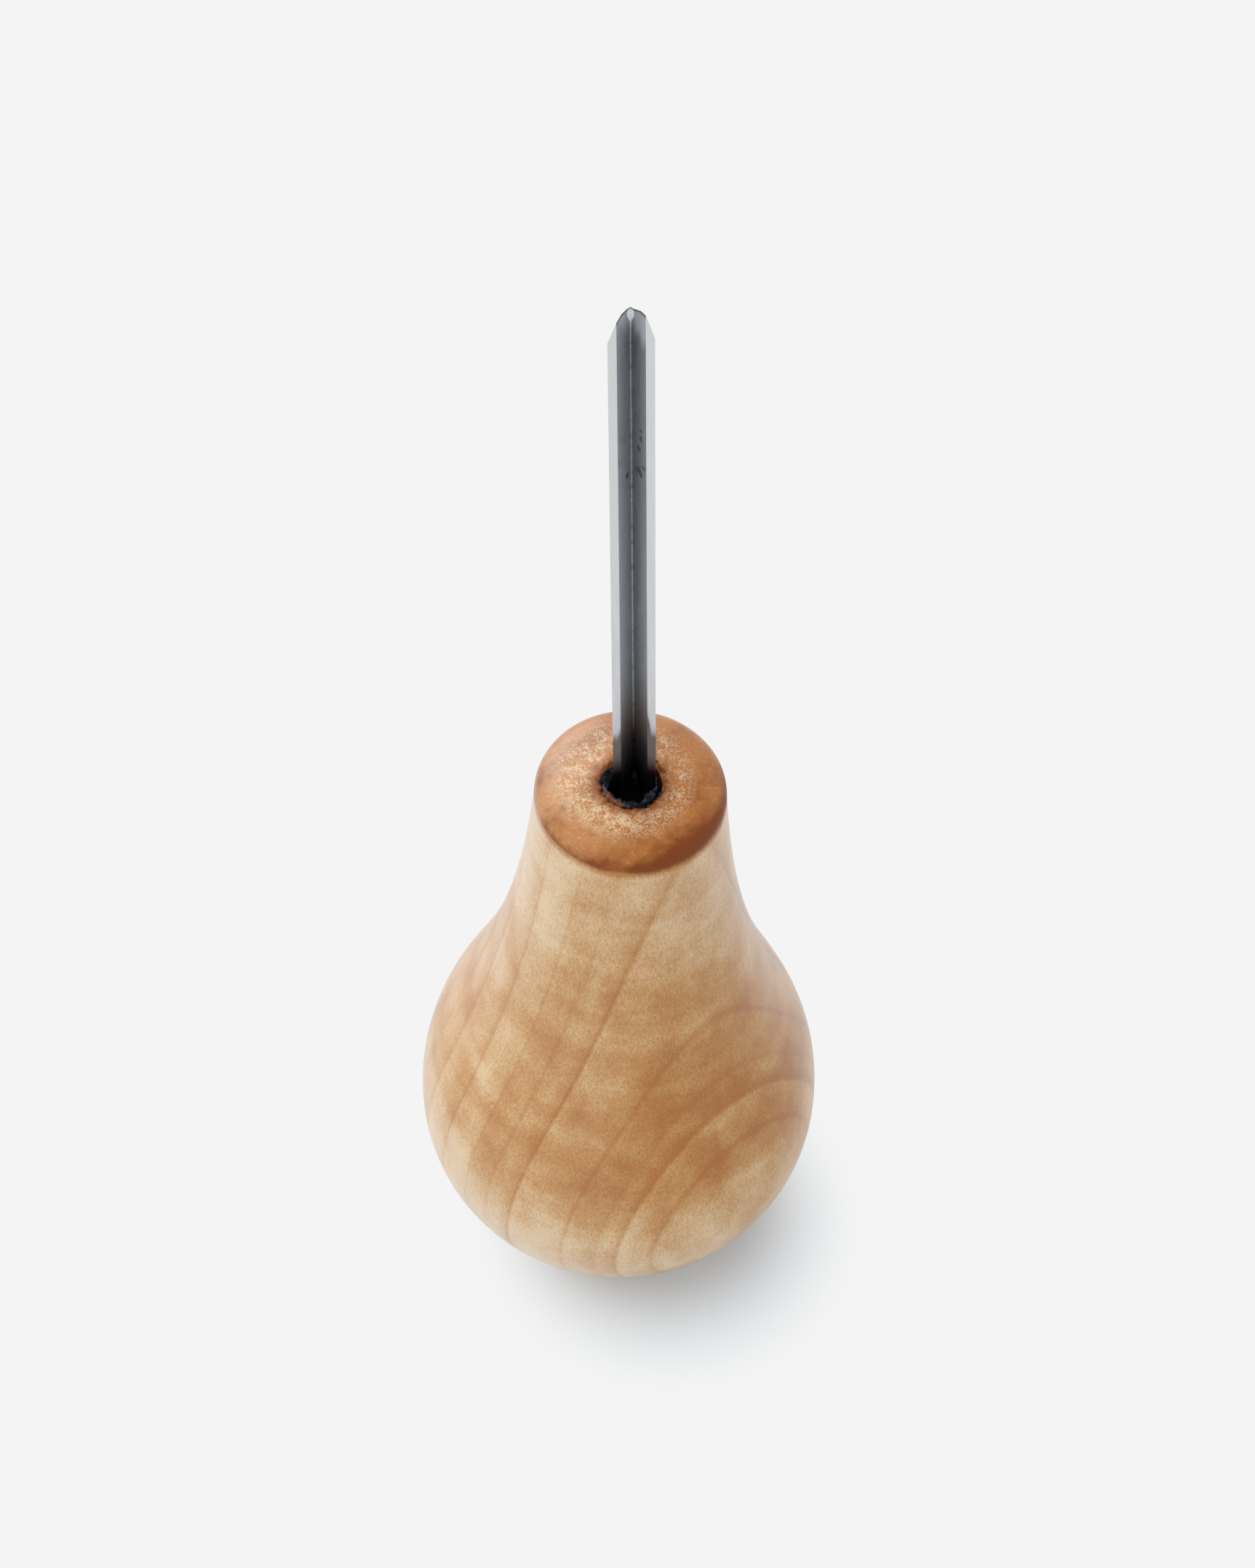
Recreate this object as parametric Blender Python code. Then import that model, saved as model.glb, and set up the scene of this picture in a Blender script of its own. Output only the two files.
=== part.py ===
"""Palm V-tool: a pear-shaped turned handle with a V-section carving blade bedded in its neck.

Metres, +Z up. The origin is the middle of the flat on the butt, and Z is the handle's axis.
The groove of the V opens towards -Y.
"""

import math

import bmesh
import bpy
from mathutils import Vector

MM = 0.001

# Handle, from the butt up
BULB_DIAMETER = 38.0 * MM
BUTT_FLAT_DIAMETER = 15.0 * MM
BULB_TO_NECK = 49.9 * MM  # from the widest ring up to the edge under the dome
BULB_FULLNESS = 13.8 * MM  # how far the bulb's curve carries straight up from the widest ring
NECK_REACH = 35.4 * MM  # how far the neck's curve carries down from the edge under the dome
NECK_FLARE = math.radians(3.7)  # lean of the neck's side just under that edge
NECK_DIAMETER = 17.2 * MM  # across the edge under the dome
DOME_RISE = 2.9 * MM
DOME_SQUARENESS = 2.6  # 2 is an ellipse, and more has a flatter top and a tighter shoulder

# Blade, measured from the top of the dome, which its axis crosses
BLADE_LENGTH = 64.2 * MM  # from the dome to the cutting edge
BLADE_LEAN = math.radians(1.6)  # off the handle's axis, towards -X
BLADE_OFFSET = 0.2 * MM  # off the handle's axis at the dome, towards +X
GROOVE_WIDTH = 2.34 * MM  # across the mouth of the V, between the rims
GROOVE_ANGLE = math.radians(60.0)  # between the two walls
GROOVE_RADIUS = 0.18 * MM  # at the root of the V
WALL = 0.63 * MM  # thickness of each wall, square to it
KEEL_RADIUS = 0.5 * MM  # on the outside of the V
BEVEL_LENGTH = 2.4 * MM  # ground outside the walls, up to the cutting edge
EDGE_THICKNESS = 0.04 * MM  # of the walls at the cutting edge

# Tang, below the V
V_SEAT = 5.0 * MM  # how far the V goes on into the handle
TANG_BLEND = 4.0 * MM  # over which the V turns into the square tang
TANG_WIDTH = 2.6 * MM
TANG_LENGTH = 22.0 * MM
TANG_END_WIDTH = 1.4 * MM
TANG_POINT = 1.2 * MM  # length of the blunt point

# Bedding between the tang and its socket
BEDDING_WALL = 0.25 * MM  # where it is thinnest
BEDDING_FLOOR = 1.0 * MM  # under the point of the tang
BEDDING_RECESS = 1.6 * MM  # how far its top lies below the dome
FIT_GAP = 0.15 * MM  # between the steel, the bedding and the wood
MOUTH_CHAMFER = 0.5 * MM  # of the socket, where the wood is burnt away

# Fineness of the round surfaces
HANDLE_STEPS = 64
SOCKET_STEPS = 32
BUTT_POINTS = 12
SIDE_STEPS = 24
DOME_POINTS = 10
ARC_POINTS = 7
SMOOTH_ANGLE = math.radians(28.0)

# Sizes that follow from the ones above
BULB_RADIUS = BULB_DIAMETER / 2
BULB_HEIGHT = math.sqrt(BULB_RADIUS**2 - (BUTT_FLAT_DIAMETER / 2) ** 2)
NECK_HEIGHT = BULB_HEIGHT + BULB_TO_NECK
DOME_HEIGHT = NECK_HEIGHT + DOME_RISE
HALF_ANGLE = GROOVE_ANGLE / 2
TANG_TOP = -V_SEAT - TANG_BLEND
TANG_END = TANG_TOP - TANG_LENGTH
TANG_TIP = TANG_END - TANG_POINT


def clear_scene():
    """Remove every object, so that only the tool is left."""
    for obj in list(bpy.data.objects):
        bpy.data.objects.remove(obj)


def finish(name, colour, roughness, metallic):
    """A plain material."""
    material = bpy.data.materials.new(name)
    material.use_nodes = True
    shader = material.node_tree.nodes["Principled BSDF"]
    shader.inputs["Base Color"].default_value = (*colour, 1.0)
    shader.inputs["Roughness"].default_value = roughness
    shader.inputs["Metallic"].default_value = metallic
    return material


def object_from(name, shape, material=None):
    """A named object from a bmesh. One without a material is a cutter."""
    bmesh.ops.recalc_face_normals(shape, faces=shape.faces)
    mesh = bpy.data.meshes.new(name)
    shape.to_mesh(mesh)
    shape.free()
    mesh.shade_smooth()
    mesh.set_sharp_from_angle(angle=SMOOTH_ANGLE)
    obj = bpy.data.objects.new(name, mesh)
    bpy.context.scene.collection.objects.link(obj)
    if material:
        mesh.materials.append(material)
    else:
        obj.hide_render = True
        obj.display_type = "WIRE"
    return obj


def turned(name, profile, steps, material=None):
    """A solid turned about Z from (radius, height) points. The first and the last lie on the axis."""
    shape = bmesh.new()
    points = [shape.verts.new((radius, 0, height)) for radius, height in profile]
    edges = [shape.edges.new(pair) for pair in zip(points, points[1:])]
    bmesh.ops.spin(
        shape, geom=points + edges, axis=(0, 0, 1), cent=(0, 0, 0), angle=math.tau, steps=steps, use_merge=True
    )
    bmesh.ops.remove_doubles(shape, verts=shape.verts, dist=0.001 * MM)
    return object_from(name, shape, material)


def lofted(name, sections, point, material=None):
    """A solid through sections, from the top down, that ends in a point below.

    A section is (height, front, back): two rows with equally many (x, y) points, from right to left.
    """
    shape = bmesh.new()
    rings = []
    for height, front, back in sections:
        loop = front + back[::-1]
        rings.append([shape.verts.new((x, y, height)) for x, y in loop])
    count = len(rings[0])
    for upper, lower in zip(rings, rings[1:]):
        for i in range(count):
            j = (i + 1) % count
            shape.faces.new((upper[i], upper[j], lower[j], lower[i]))
    top = rings[0]
    for i in range(count // 2 - 1):
        shape.faces.new((top[i], top[i + 1], top[count - 2 - i], top[count - 1 - i]))
    tip = shape.verts.new((0, 0, point))
    for i in range(count):
        shape.faces.new((rings[-1][i], rings[-1][(i + 1) % count], tip))
    return object_from(name, shape, material)


def cut(obj, cutter):
    """Take the cutter's shape out of an object."""
    boolean = obj.modifiers.new("cut", "BOOLEAN")
    boolean.operation = "DIFFERENCE"
    boolean.solver = "EXACT"
    boolean.object = cutter


def cubic(start, start_pull, end_pull, end, count):
    """Points of a cubic curve after its start, up to its end."""
    points = []
    for i in range(1, count + 1):
        t = i / count
        u = 1 - t
        weights = (u**3, 3 * u * u * t, 3 * u * t * t, t**3)
        corners = (start, start_pull, end_pull, end)
        points.append(tuple(sum(w * c[k] for w, c in zip(weights, corners)) for k in (0, 1)))
    return points


def handle_profile():
    """(radius, height) points of the handle, from the top of the dome down to the butt."""
    neck = (NECK_DIAMETER / 2, NECK_HEIGHT)
    power = 2 / DOME_SQUARENESS
    dome = []
    for i in range(DOME_POINTS):
        angle = math.pi / 2 * (1 - i / DOME_POINTS)
        across = max(math.cos(angle), 0.0) ** power
        up = math.sin(angle) ** power
        dome.append((neck[0] * across if i else 0.0, NECK_HEIGHT + DOME_RISE * up))
    bulb = (BULB_RADIUS, BULB_HEIGHT)
    neck_pull = (neck[0] + NECK_REACH * math.tan(NECK_FLARE), NECK_HEIGHT - NECK_REACH)
    bulb_pull = (BULB_RADIUS, BULB_HEIGHT + BULB_FULLNESS)
    side = cubic(neck, neck_pull, bulb_pull, bulb, SIDE_STEPS)
    lowest = math.asin(BULB_HEIGHT / BULB_RADIUS)
    butt = []
    for i in range(1, BUTT_POINTS + 1):
        angle = lowest * i / BUTT_POINTS
        butt.append((BULB_RADIUS * math.cos(angle), BULB_HEIGHT - BULB_RADIUS * math.sin(angle)))
    return dome + [neck] + side + butt + [(0.0, 0.0)]


def v_row(half_width, radius, rim):
    """A row along one face of the V, from the right rim round its root to the left rim."""
    apex = rim + half_width / math.tan(HALF_ANGLE)
    centre = apex - radius / math.sin(HALF_ANGLE)
    row = [(half_width, rim)]
    for i in range(ARC_POINTS):
        angle = HALF_ANGLE + (math.pi - GROOVE_ANGLE) * i / (ARC_POINTS - 1)
        row.append((radius * math.cos(angle), centre + radius * math.sin(angle)))
    return row + [(-half_width, rim)]


def square_rows(width):
    """The front and the back row of a square section, in step with those of the V."""
    half = width / 2
    last = ARC_POINTS - 1
    across = [half * (1 - 2 * i / last) for i in range(ARC_POINTS)]
    inset = half / ARC_POINTS
    front = [(half - inset, -half)]
    front += [((half - 2 * inset) * x / half, -half) for x in across]
    front += [(inset - half, -half)]
    back = [(half, -half)] + [(x, half) for x in across] + [(-half, -half)]
    return front, back


def rim_place():
    """(y of the rims, radius of the round hole that the V just fits in), with the V centred in it."""
    half_width = GROOVE_WIDTH / 2 + WALL / math.cos(HALF_ANGLE)
    depth = half_width / math.tan(HALF_ANGLE) - KEEL_RADIUS * (1 / math.sin(HALF_ANGLE) - 1)
    radius = (half_width**2 + depth**2) / (2 * depth)
    return radius - depth, radius


def v_section(height, wall):
    """The V at a height, with its walls ground from outside down to a thickness."""
    rim, _ = rim_place()
    inner = GROOVE_WIDTH / 2
    radius = GROOVE_RADIUS + (KEEL_RADIUS - GROOVE_RADIUS) * wall / WALL
    outer = inner + wall / math.cos(HALF_ANGLE)
    return height, v_row(inner, GROOVE_RADIUS, rim), v_row(outer, radius, rim)


def filled_section(height):
    """The outside of the V with its groove filled, grown by the gap."""
    rim, _ = rim_place()
    front_edge = rim - FIT_GAP
    outer = GROOVE_WIDTH / 2 + (WALL + FIT_GAP) / math.cos(HALF_ANGLE)
    outer += FIT_GAP * math.tan(HALF_ANGLE)
    back = v_row(outer, KEEL_RADIUS + FIT_GAP, front_edge)
    last = len(back) - 1
    inset = outer / ARC_POINTS
    front = [((outer - inset) * (1 - 2 * i / last), front_edge) for i in range(len(back))]
    return height, front, back


def tang_sections(grow):
    """The square tang, from its top to where its point begins, grown by a gap."""
    return [
        (TANG_TOP, *square_rows(TANG_WIDTH + 2 * grow)),
        (TANG_END, *square_rows(TANG_END_WIDTH + 2 * grow)),
    ]


def bore_profile(gap, top):
    """(radius, height) points of the tang's bed, grown by a gap, from its top down to its floor."""
    _, v_radius = rim_place()
    room = FIT_GAP + BEDDING_WALL + gap
    tang_radius = TANG_WIDTH / math.sqrt(2)
    end_radius = TANG_END_WIDTH / math.sqrt(2)
    floor = TANG_TIP - FIT_GAP - BEDDING_FLOOR - gap
    v_room = max(v_radius, tang_radius) + room
    return [
        (0.0, top),
        (v_room, top),
        (v_room, -V_SEAT),
        (tang_radius + room, TANG_TOP),
        (end_radius + room, TANG_END),
        (end_radius + room, floor),
        (0.0, floor),
    ]


def socket_profile():
    """The bed with the gap round the bedding and a chamfer that opens out past the dome."""
    bore = bore_profile(FIT_GAP, 0.0)
    mouth = bore[1][0]
    above = DOME_RISE
    chamfer = [(0.0, above), (mouth + MOUTH_CHAMFER + above, above), (mouth, -MOUTH_CHAMFER)]
    return chamfer + bore[2:]


def build():
    """The handle, the blade and the bedding."""
    wood = finish("turned_wood", (0.51, 0.29, 0.13), 0.4, 0.0)
    steel = finish("tool_steel", (0.36, 0.38, 0.40), 0.32, 1.0)
    resin = finish("black_bedding", (0.010, 0.010, 0.013), 0.5, 0.0)

    seat = bpy.data.objects.new("blade_seat", None)
    bpy.context.scene.collection.objects.link(seat)
    seat.location = Vector((BLADE_OFFSET, 0, DOME_HEIGHT))
    seat.rotation_euler = (0, -BLADE_LEAN, 0)

    handle = turned("handle", handle_profile(), HANDLE_STEPS, wood)
    socket = turned("socket_cutter", socket_profile(), SOCKET_STEPS)
    cut(handle, socket)

    ground = [v_section(BLADE_LENGTH, EDGE_THICKNESS), v_section(BLADE_LENGTH - BEVEL_LENGTH, WALL)]
    blade_sections = ground + [v_section(-V_SEAT, WALL)] + tang_sections(0)
    blade = lofted("v_blade", blade_sections, TANG_TIP, steel)

    bedding = turned("tang_bedding", bore_profile(0, -BEDDING_RECESS), SOCKET_STEPS, resin)
    room_sections = [filled_section(DOME_RISE), filled_section(-V_SEAT)] + tang_sections(FIT_GAP)
    room = lofted("tang_cutter", room_sections, TANG_TIP - FIT_GAP)
    cut(bedding, room)

    for obj in (socket, blade, bedding, room):
        obj.parent = seat


clear_scene()
build()
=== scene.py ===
"""Palm V-tool: the looks of a turned carving tool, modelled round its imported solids.

Laid out as an add-on and run as a script. Metres, +Z up, in the frame of the solids: the origin is
the middle of the flat on the butt, Z is the handle's axis and the groove of the blade faces -Y.
"""

import math

import bmesh
import bpy
from bpy.props import FloatProperty, FloatVectorProperty, IntProperty, PointerProperty
from mathutils import Matrix, Vector


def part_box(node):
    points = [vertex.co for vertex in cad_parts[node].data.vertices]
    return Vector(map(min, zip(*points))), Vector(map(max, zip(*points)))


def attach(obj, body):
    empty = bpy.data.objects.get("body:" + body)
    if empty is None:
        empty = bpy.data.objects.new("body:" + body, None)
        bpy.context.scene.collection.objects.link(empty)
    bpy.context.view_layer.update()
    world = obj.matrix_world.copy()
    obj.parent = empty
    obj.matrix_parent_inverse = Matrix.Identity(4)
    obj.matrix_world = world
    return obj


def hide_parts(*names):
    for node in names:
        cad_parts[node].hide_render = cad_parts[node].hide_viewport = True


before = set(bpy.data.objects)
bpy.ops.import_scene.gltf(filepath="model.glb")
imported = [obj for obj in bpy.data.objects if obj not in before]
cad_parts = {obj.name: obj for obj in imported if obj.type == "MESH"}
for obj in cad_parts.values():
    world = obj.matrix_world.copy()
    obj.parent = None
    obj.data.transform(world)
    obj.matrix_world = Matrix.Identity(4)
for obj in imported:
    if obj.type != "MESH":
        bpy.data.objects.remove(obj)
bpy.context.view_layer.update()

bl_info = {
    "name": "Palm V-tool",
    "version": (1, 0, 0),
    "blender": (4, 5, 0),
    "location": "3D View > Sidebar > Palm tool",
    "description": "Models a palm carving tool with a turned handle and a V-section blade",
    "category": "Mesh",
}

MM = 0.001
HANDLE_LOW, HANDLE_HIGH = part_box("handle")
PHOTO_HEIGHT = 2156


def length(name, description, millimetres):
    """A size in metres, given in millimetres."""
    default = millimetres * MM
    return FloatProperty(name=name, description=description, default=default, unit="LENGTH")


def angle(name, description, degrees):
    """An angle in radians, given in degrees."""
    default = math.radians(degrees)
    return FloatProperty(name=name, description=description, default=default, unit="ROTATION")


def colour(name, description, red, green, blue):
    """A linear colour."""
    return FloatVectorProperty(
        name=name,
        description=description,
        subtype="COLOR",
        size=3,
        min=0,
        max=1,
        default=(red, green, blue),
    )


class HandleSizes(bpy.types.PropertyGroup):
    """Sizes of the turned handle."""

    bulb_diameter: length("Bulb", "Across the widest ring", (HANDLE_HIGH.x - HANDLE_LOW.x) / MM)
    butt_flat: length("Butt flat", "Across the flat that the tool stands on", 15.0)
    bulb_to_neck: length("Bulb to neck", "From the widest ring up to the edge under the dome", 49.9)
    bulb_fullness: length("Bulb fullness", "How far the side rises from the widest ring", 13.8)
    neck_reach: length("Neck reach", "How far the side runs down from that edge", 35.4)
    neck_flare: angle("Neck flare", "Lean of the side just under the dome", 3.7)
    neck_diameter: length("Neck", "Across the edge under the dome", 17.2)
    dome_rise: length("Dome rise", "From that edge to the top of the dome", 2.9)
    dome_squareness: FloatProperty(name="Squareness", description="2 is an ellipse", default=2.6)
    socket_diameter: length("Socket", "Across the burnt hole for the tang", 5.18)
    socket_depth: length("Socket depth", "From the top of the dome", 33.6)
    mouth_burn: length("Mouth burn", "How far the mouth of the socket is burnt open", 0.5)
    mouth_forward: length("Mouth forward", "How far the burnt mouth lies before the blade", 0.5)
    steps: IntProperty(name="Steps", description="Faces round the handle", default=240)

    def bulb_height(self):
        """Height of the widest ring."""
        return math.sqrt((self.bulb_diameter / 2) ** 2 - (self.butt_flat / 2) ** 2)

    def neck_height(self):
        """Height of the edge under the dome."""
        return self.bulb_height() + self.bulb_to_neck

    def dome_height(self):
        """Height of the top of the dome."""
        return self.neck_height() + self.dome_rise


class BladeSizes(bpy.types.PropertyGroup):
    """Sizes of the blade, measured from the top of the dome."""

    exposed: length("Length", "From the dome to the cutting edge at the root", 64.15)
    lean: angle("Lean", "Off the handle's axis, towards -X", 1.6)
    offset: length("Offset", "Off the handle's axis at the dome, towards +X", 0.2)
    turn: angle("Turn", "Of the rims about the root, towards +X", 3.6)
    groove_width: length("Groove", "Between the rims", 2.34)
    groove_angle: angle("Groove angle", "Between the two walls", 60.0)
    root_radius: length("Root radius", "At the bottom of the groove", 0.09)
    root_spread: FloatProperty(name="Root spread", description="Times, at the edge", default=3.4)
    wall: length("Wall", "Thickness, square to it", 0.63)
    keel_radius: length("Keel radius", "On the outside of the V", 0.5)
    bevel_length: length("Bevel", "Ground outside the root, up to the cutting edge", 2.6)
    right_bevel: length("Right bevel", "Ground outside the right wall", 3.0)
    left_bevel: length("Left bevel", "Ground outside the left wall", 2.5)
    root_crown: length("Root crown", "How far the edge rises in the middle of the root", 0.3)
    wing_bow: length("Wing bow", "How far the cutting edge bows out along each wall", 0.25)
    right_lead: length("Right lead", "How far the right wing stands ahead of the root", 0.65)
    left_lead: length("Left lead", "How far the left wing stands ahead of the root", -0.2)
    edge_break: length("Edge break", "Rounding of the rims' edges", 0.05)
    seat: length("Seat", "How far the V goes on into the handle", 5.0)
    tang_width: length("Tang", "Across the square tang, at the foot of the V", 2.6)
    tang_end: length("Tang end", "Across the tang where its point starts", 1.4)
    tang_length: length("Tang length", "From inside the foot of the V down to its point", 26.0)

    def half_width(self):
        """From the middle of the V to the outside of a rim."""
        return self.groove_width / 2 + self.wall / math.cos(self.groove_angle / 2)

    def rim_place(self):
        """Where the rims lie along Y, with the V centred in its socket."""
        half_angle = self.groove_angle / 2
        half_width = self.half_width()
        keel = self.keel_radius * (1 / math.sin(half_angle) - 1)
        depth = half_width / math.tan(half_angle) - keel
        return (half_width**2 + depth**2) / (2 * depth) - depth

    def root_place(self):
        """Where the bottom of the groove lies along Y."""
        depth = self.groove_width / 2 / math.tan(self.groove_angle / 2)
        return self.rim_place() + depth - self.root_radius


class StageSettings(bpy.types.PropertyGroup):
    """Camera and floor."""

    distance: length("Camera distance", "From the middle of the neck's edge", 453.4)
    tilt: angle("Camera tilt", "Between the line of sight and the handle's axis", 34.0)
    roll: angle("Camera roll", "About the line of sight", 2.36)
    lens: FloatProperty(name="Lens", description="Focal length in mm", default=116.9, unit="CAMERA")
    right: IntProperty(name="Right", description="Pixels of the aim right of the middle", default=4)
    below: IntProperty(name="Below", description="Pixels of the aim below the middle", default=14)
    floor: colour("Floor", "The plain pale floor", 0.905, 0.905, 0.905)
    # Its blue tint offsets the warm light that the wood throws onto the floor near it.
    floor_shade: colour("Floor in shade", "Less the wood's tint", 0.738, 0.808, 0.872)


class Finishes(bpy.types.PropertyGroup):
    """Colours of the wood, the steel and the burnt bedding."""

    # Near the butt this palest tone also carries a painted reflection of the floor.
    bare_wood: colour("Bare wood", "The palest wood, near the butt", 0.665, 0.478, 0.280)
    pale_wood: colour("Pale wood", "Between two growth rings", 0.590, 0.370, 0.178)
    warm_wood: colour("Warm wood", "The wood's main colour", 0.495, 0.252, 0.077)
    ring_wood: colour("Ring wood", "Along a growth ring", 0.385, 0.137, 0.024)
    burnt_wood: colour("Burnt wood", "The burnished dome", 0.42, 0.152, 0.030)
    pink_wood: colour("Pink wood", "A small pink spot under the neck", 0.70, 0.26, 0.16)
    scorched_wood: colour("Scorched wood", "The darkest part of the dome", 0.20, 0.048, 0.007)
    # Also the colour of the painted sheen on the dome's left.
    torn_wood_and_sheen: colour("Torn wood", "Flecks of bare end grain", 0.74, 0.56, 0.36)
    char: colour("Char", "The burnt mouth and the bedding", 0.006, 0.006, 0.008)
    # Painted sheen: the blue-grey highlights on the bedding's glassy lumps.
    char_skin_and_sheen: colour("Char skin", "The glassy skin of the bedding", 0.040, 0.052, 0.092)
    char_crumbs: colour("Char crumbs", "Singed crumbs in front", 0.17, 0.062, 0.020)
    ground_steel: colour("Ground steel", "The rims and the honed end", 0.70, 0.71, 0.73)
    wall_steel: colour("Wall steel", "The groove's walls next to the rims", 0.67, 0.70, 0.74)
    # Painted shade: the dark of the V's recess, towards its root.
    root_shade_steel: colour("Dark steel", "The groove's walls next to the root", 0.375, 0.395, 0.42)
    worn_steel: colour("Worn steel", "The rims where they are rubbed", 0.58, 0.59, 0.61)
    dull_steel: colour("Dull steel", "The rims next to the handle", 0.50, 0.55, 0.62)
    # Also painted shade: on the right wall of the groove and along the rims' inner edges.
    stain_and_shade: colour("Stain", "Dark marks and soot on the steel", 0.045, 0.040, 0.036)


class Wire:
    """One socket of a material. Arithmetic on it adds Math nodes."""

    def __init__(self, tree, socket):
        self.tree = tree
        self.socket = socket

    def node(self, kind, settings, inputs, output=0):
        """Add a node from its type, settings and the values or wires of its sockets."""
        made = self.tree.nodes.new(kind)
        for name, value in settings.items():
            if name == "stops":
                set_stops(made.color_ramp, value)
            else:
                setattr(made, name, value)
        for name, value in inputs.items():
            if isinstance(value, Wire):
                self.tree.links.new(value.socket, made.inputs[name])
            else:
                made.inputs[name].default_value = value
        return Wire(self.tree, made.outputs[output])

    def math(self, operation, *values):
        """A Math node on this wire and other wires or numbers."""
        inputs = dict(enumerate((self, *values)))
        return self.node("ShaderNodeMath", {"operation": operation}, inputs)

    def __add__(self, other):
        return self.math("ADD", other)

    def __sub__(self, other):
        return self.math("SUBTRACT", other)

    def __mul__(self, other):
        return self.math("MULTIPLY", other)

    def __truediv__(self, other):
        return self.math("DIVIDE", other)

    def __rsub__(self, other):
        return self.node("ShaderNodeMath", {"operation": "SUBTRACT"}, {0: other, 1: self})

    __radd__ = __add__
    __rmul__ = __mul__

    def step(self, low, high):
        """0 below one value, 1 above the other, and smooth between."""
        settings = {"interpolation_type": "SMOOTHSTEP"}
        inputs = {"Value": self, "From Min": low, "From Max": high}
        return self.node("ShaderNodeMapRange", settings, inputs)

    def ramp(self, stops, interpolation="LINEAR"):
        """A colour ramp of (place, colour or grey) stops."""
        return self.node("ShaderNodeValToRGB", {"stops": (interpolation, stops)}, {"Fac": self})

    def mix(self, first, second, blend="MIX"):
        """From the first colour at 0 to the second at 1."""
        settings = {"data_type": "RGBA", "blend_type": blend}
        inputs = {0: self, 6: opaque(first), 7: opaque(second)}
        return self.node("ShaderNodeMix", settings, inputs, 2)

    def dot(self, direction):
        """How far a place lies along a direction."""
        settings = {"operation": "DOT_PRODUCT"}
        return self.node("ShaderNodeVectorMath", settings, {0: self, 1: direction}, 1)

    def distance(self, point):
        """How far a place lies from a point."""
        settings = {"operation": "DISTANCE"}
        return self.node("ShaderNodeVectorMath", settings, {0: self, 1: point}, 1)

    def mapped(self, location=(0, 0, 0), rotation=(0, 0, 0), scale=(1, 1, 1)):
        """A place that is scaled, turned and moved."""
        inputs = {"Vector": self, "Location": location, "Rotation": rotation, "Scale": scale}
        return self.node("ShaderNodeMapping", {}, inputs)

    def noise(self, scale, detail=2.0, roughness=0.5, distortion=0.0):
        """Noise from 0 to 1 at a place."""
        inputs = {"Vector": self, "Scale": scale, "Detail": detail, "Roughness": roughness}
        inputs["Distortion"] = distortion
        return self.node("ShaderNodeTexNoise", {}, inputs)

    def ripple(self, *settings):
        """Noise from -0.5 to 0.5 at a place."""
        return self.noise(*settings) - 0.5

    def parts(self):
        """The x, y and z of a place."""
        made = self.tree.nodes.new("ShaderNodeSeparateXYZ")
        self.tree.links.new(self.socket, made.inputs[0])
        return [Wire(self.tree, socket) for socket in made.outputs]

    def bump(self, strength, distance):
        """A normal from a height."""
        inputs = {"Height": self, "Strength": strength, "Distance": distance}
        return self.node("ShaderNodeBump", {}, inputs)


def opaque(shade):
    """A colour with its alpha, unless it is a wire."""
    return shade if isinstance(shade, Wire) else (*shade, 1.0)


def hypot(first, second):
    """The long side over two wires at right angles."""
    return (first * first + second * second).math("SQRT")


def set_stops(ramp, given):
    """Fill a colour ramp from (interpolation, stops)."""
    ramp.interpolation, stops = given
    while len(ramp.elements) < len(stops):
        ramp.elements.new(1.0)
    for element, (place, shade) in zip(ramp.elements, stops):
        element.position = place
        element.color = (shade, shade, shade, 1.0) if isinstance(shade, float) else (*shade, 1.0)


def new_finish(name, constants):
    """A material, its shader and the place on the piece in millimetres."""
    material = bpy.data.materials.new(name)
    material.use_nodes = True
    tree = material.node_tree
    shader = tree.nodes["Principled BSDF"]
    for socket, value in constants.items():
        shader.inputs[socket].default_value = value
    start = tree.nodes.new("ShaderNodeTexCoord")
    place = Wire(tree, start.outputs["Object"]).mapped(scale=(1 / MM,) * 3)
    return material, shader, place


def feed(shader, **wires):
    """Link wires to the shader's sockets, named with underscores for spaces."""
    for name, wire in wires.items():
        wire.tree.links.new(wire.socket, shader.inputs[name.replace("_", " ")])


RING_NORMAL = (0.686, -0.723, -0.074)
RING_TURN = math.radians(-43.5)
RINGS = (
    # place across the rings in mm, width of the dark side, depth of the line, tone after it
    (-15.4, 1.6, 0.20, 0.22),
    (-12.5, 1.3, 0.22, 0.26),
    (-9.7, 1.6, 0.30, 0.36),
    (-5.75, 2.0, 0.42, 0.38),
    (-1.9, 2.2, 0.50, 0.09),
    (0.9, 0.5, 0.22, 0.09),
    (3.55, 1.5, 0.68, 0.08),
    (8.7, 2.3, 0.54, -0.12),
    (11.3, 1.2, 0.20, -0.14),
    (12.8, 0.9, 0.54, 0.03),
    (14.9, 1.7, 0.52, -0.14),
    (16.6, 1.6, -0.26, 0.13),
    (17.9, 0.9, 0.44, 0.14),
)
RING_SPAN = 20.0
RING_STEPS = ((-0.30, 0.42), (-0.07, 1.0))
RING_CLEAR = 0.15
TONE_MIDDLE = 0.6
TONE_TOP = 1.3
NECK_TONE = TONE_MIDDLE + 0.17
PINK_SPOT = (1.6, -9.9, 53.2)
CURL_SPAN = 70.0
CURL = (
    # height in mm, how much paler the wood is there
    (24.0, 0.0),
    (26.0, -0.10),
    (30.0, -0.13),
    (32.0, 0.01),
    (34.2, -0.15),
    (38.2, -0.02),
    (41.2, -0.12),
    (44.2, 0.03),
    (47.0, -0.08),
    (50.0, -0.02),
    (53.0, 0.11),
    (54.6, 0.05),
    (59.5, 0.15),
    (61.2, 0.07),
    (66.0, 0.18),
)


def ring_share(place):
    """A place across the rings, in mm or as a wire, as a share of the ramp."""
    return (place + RING_SPAN) / (2 * RING_SPAN)


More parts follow.
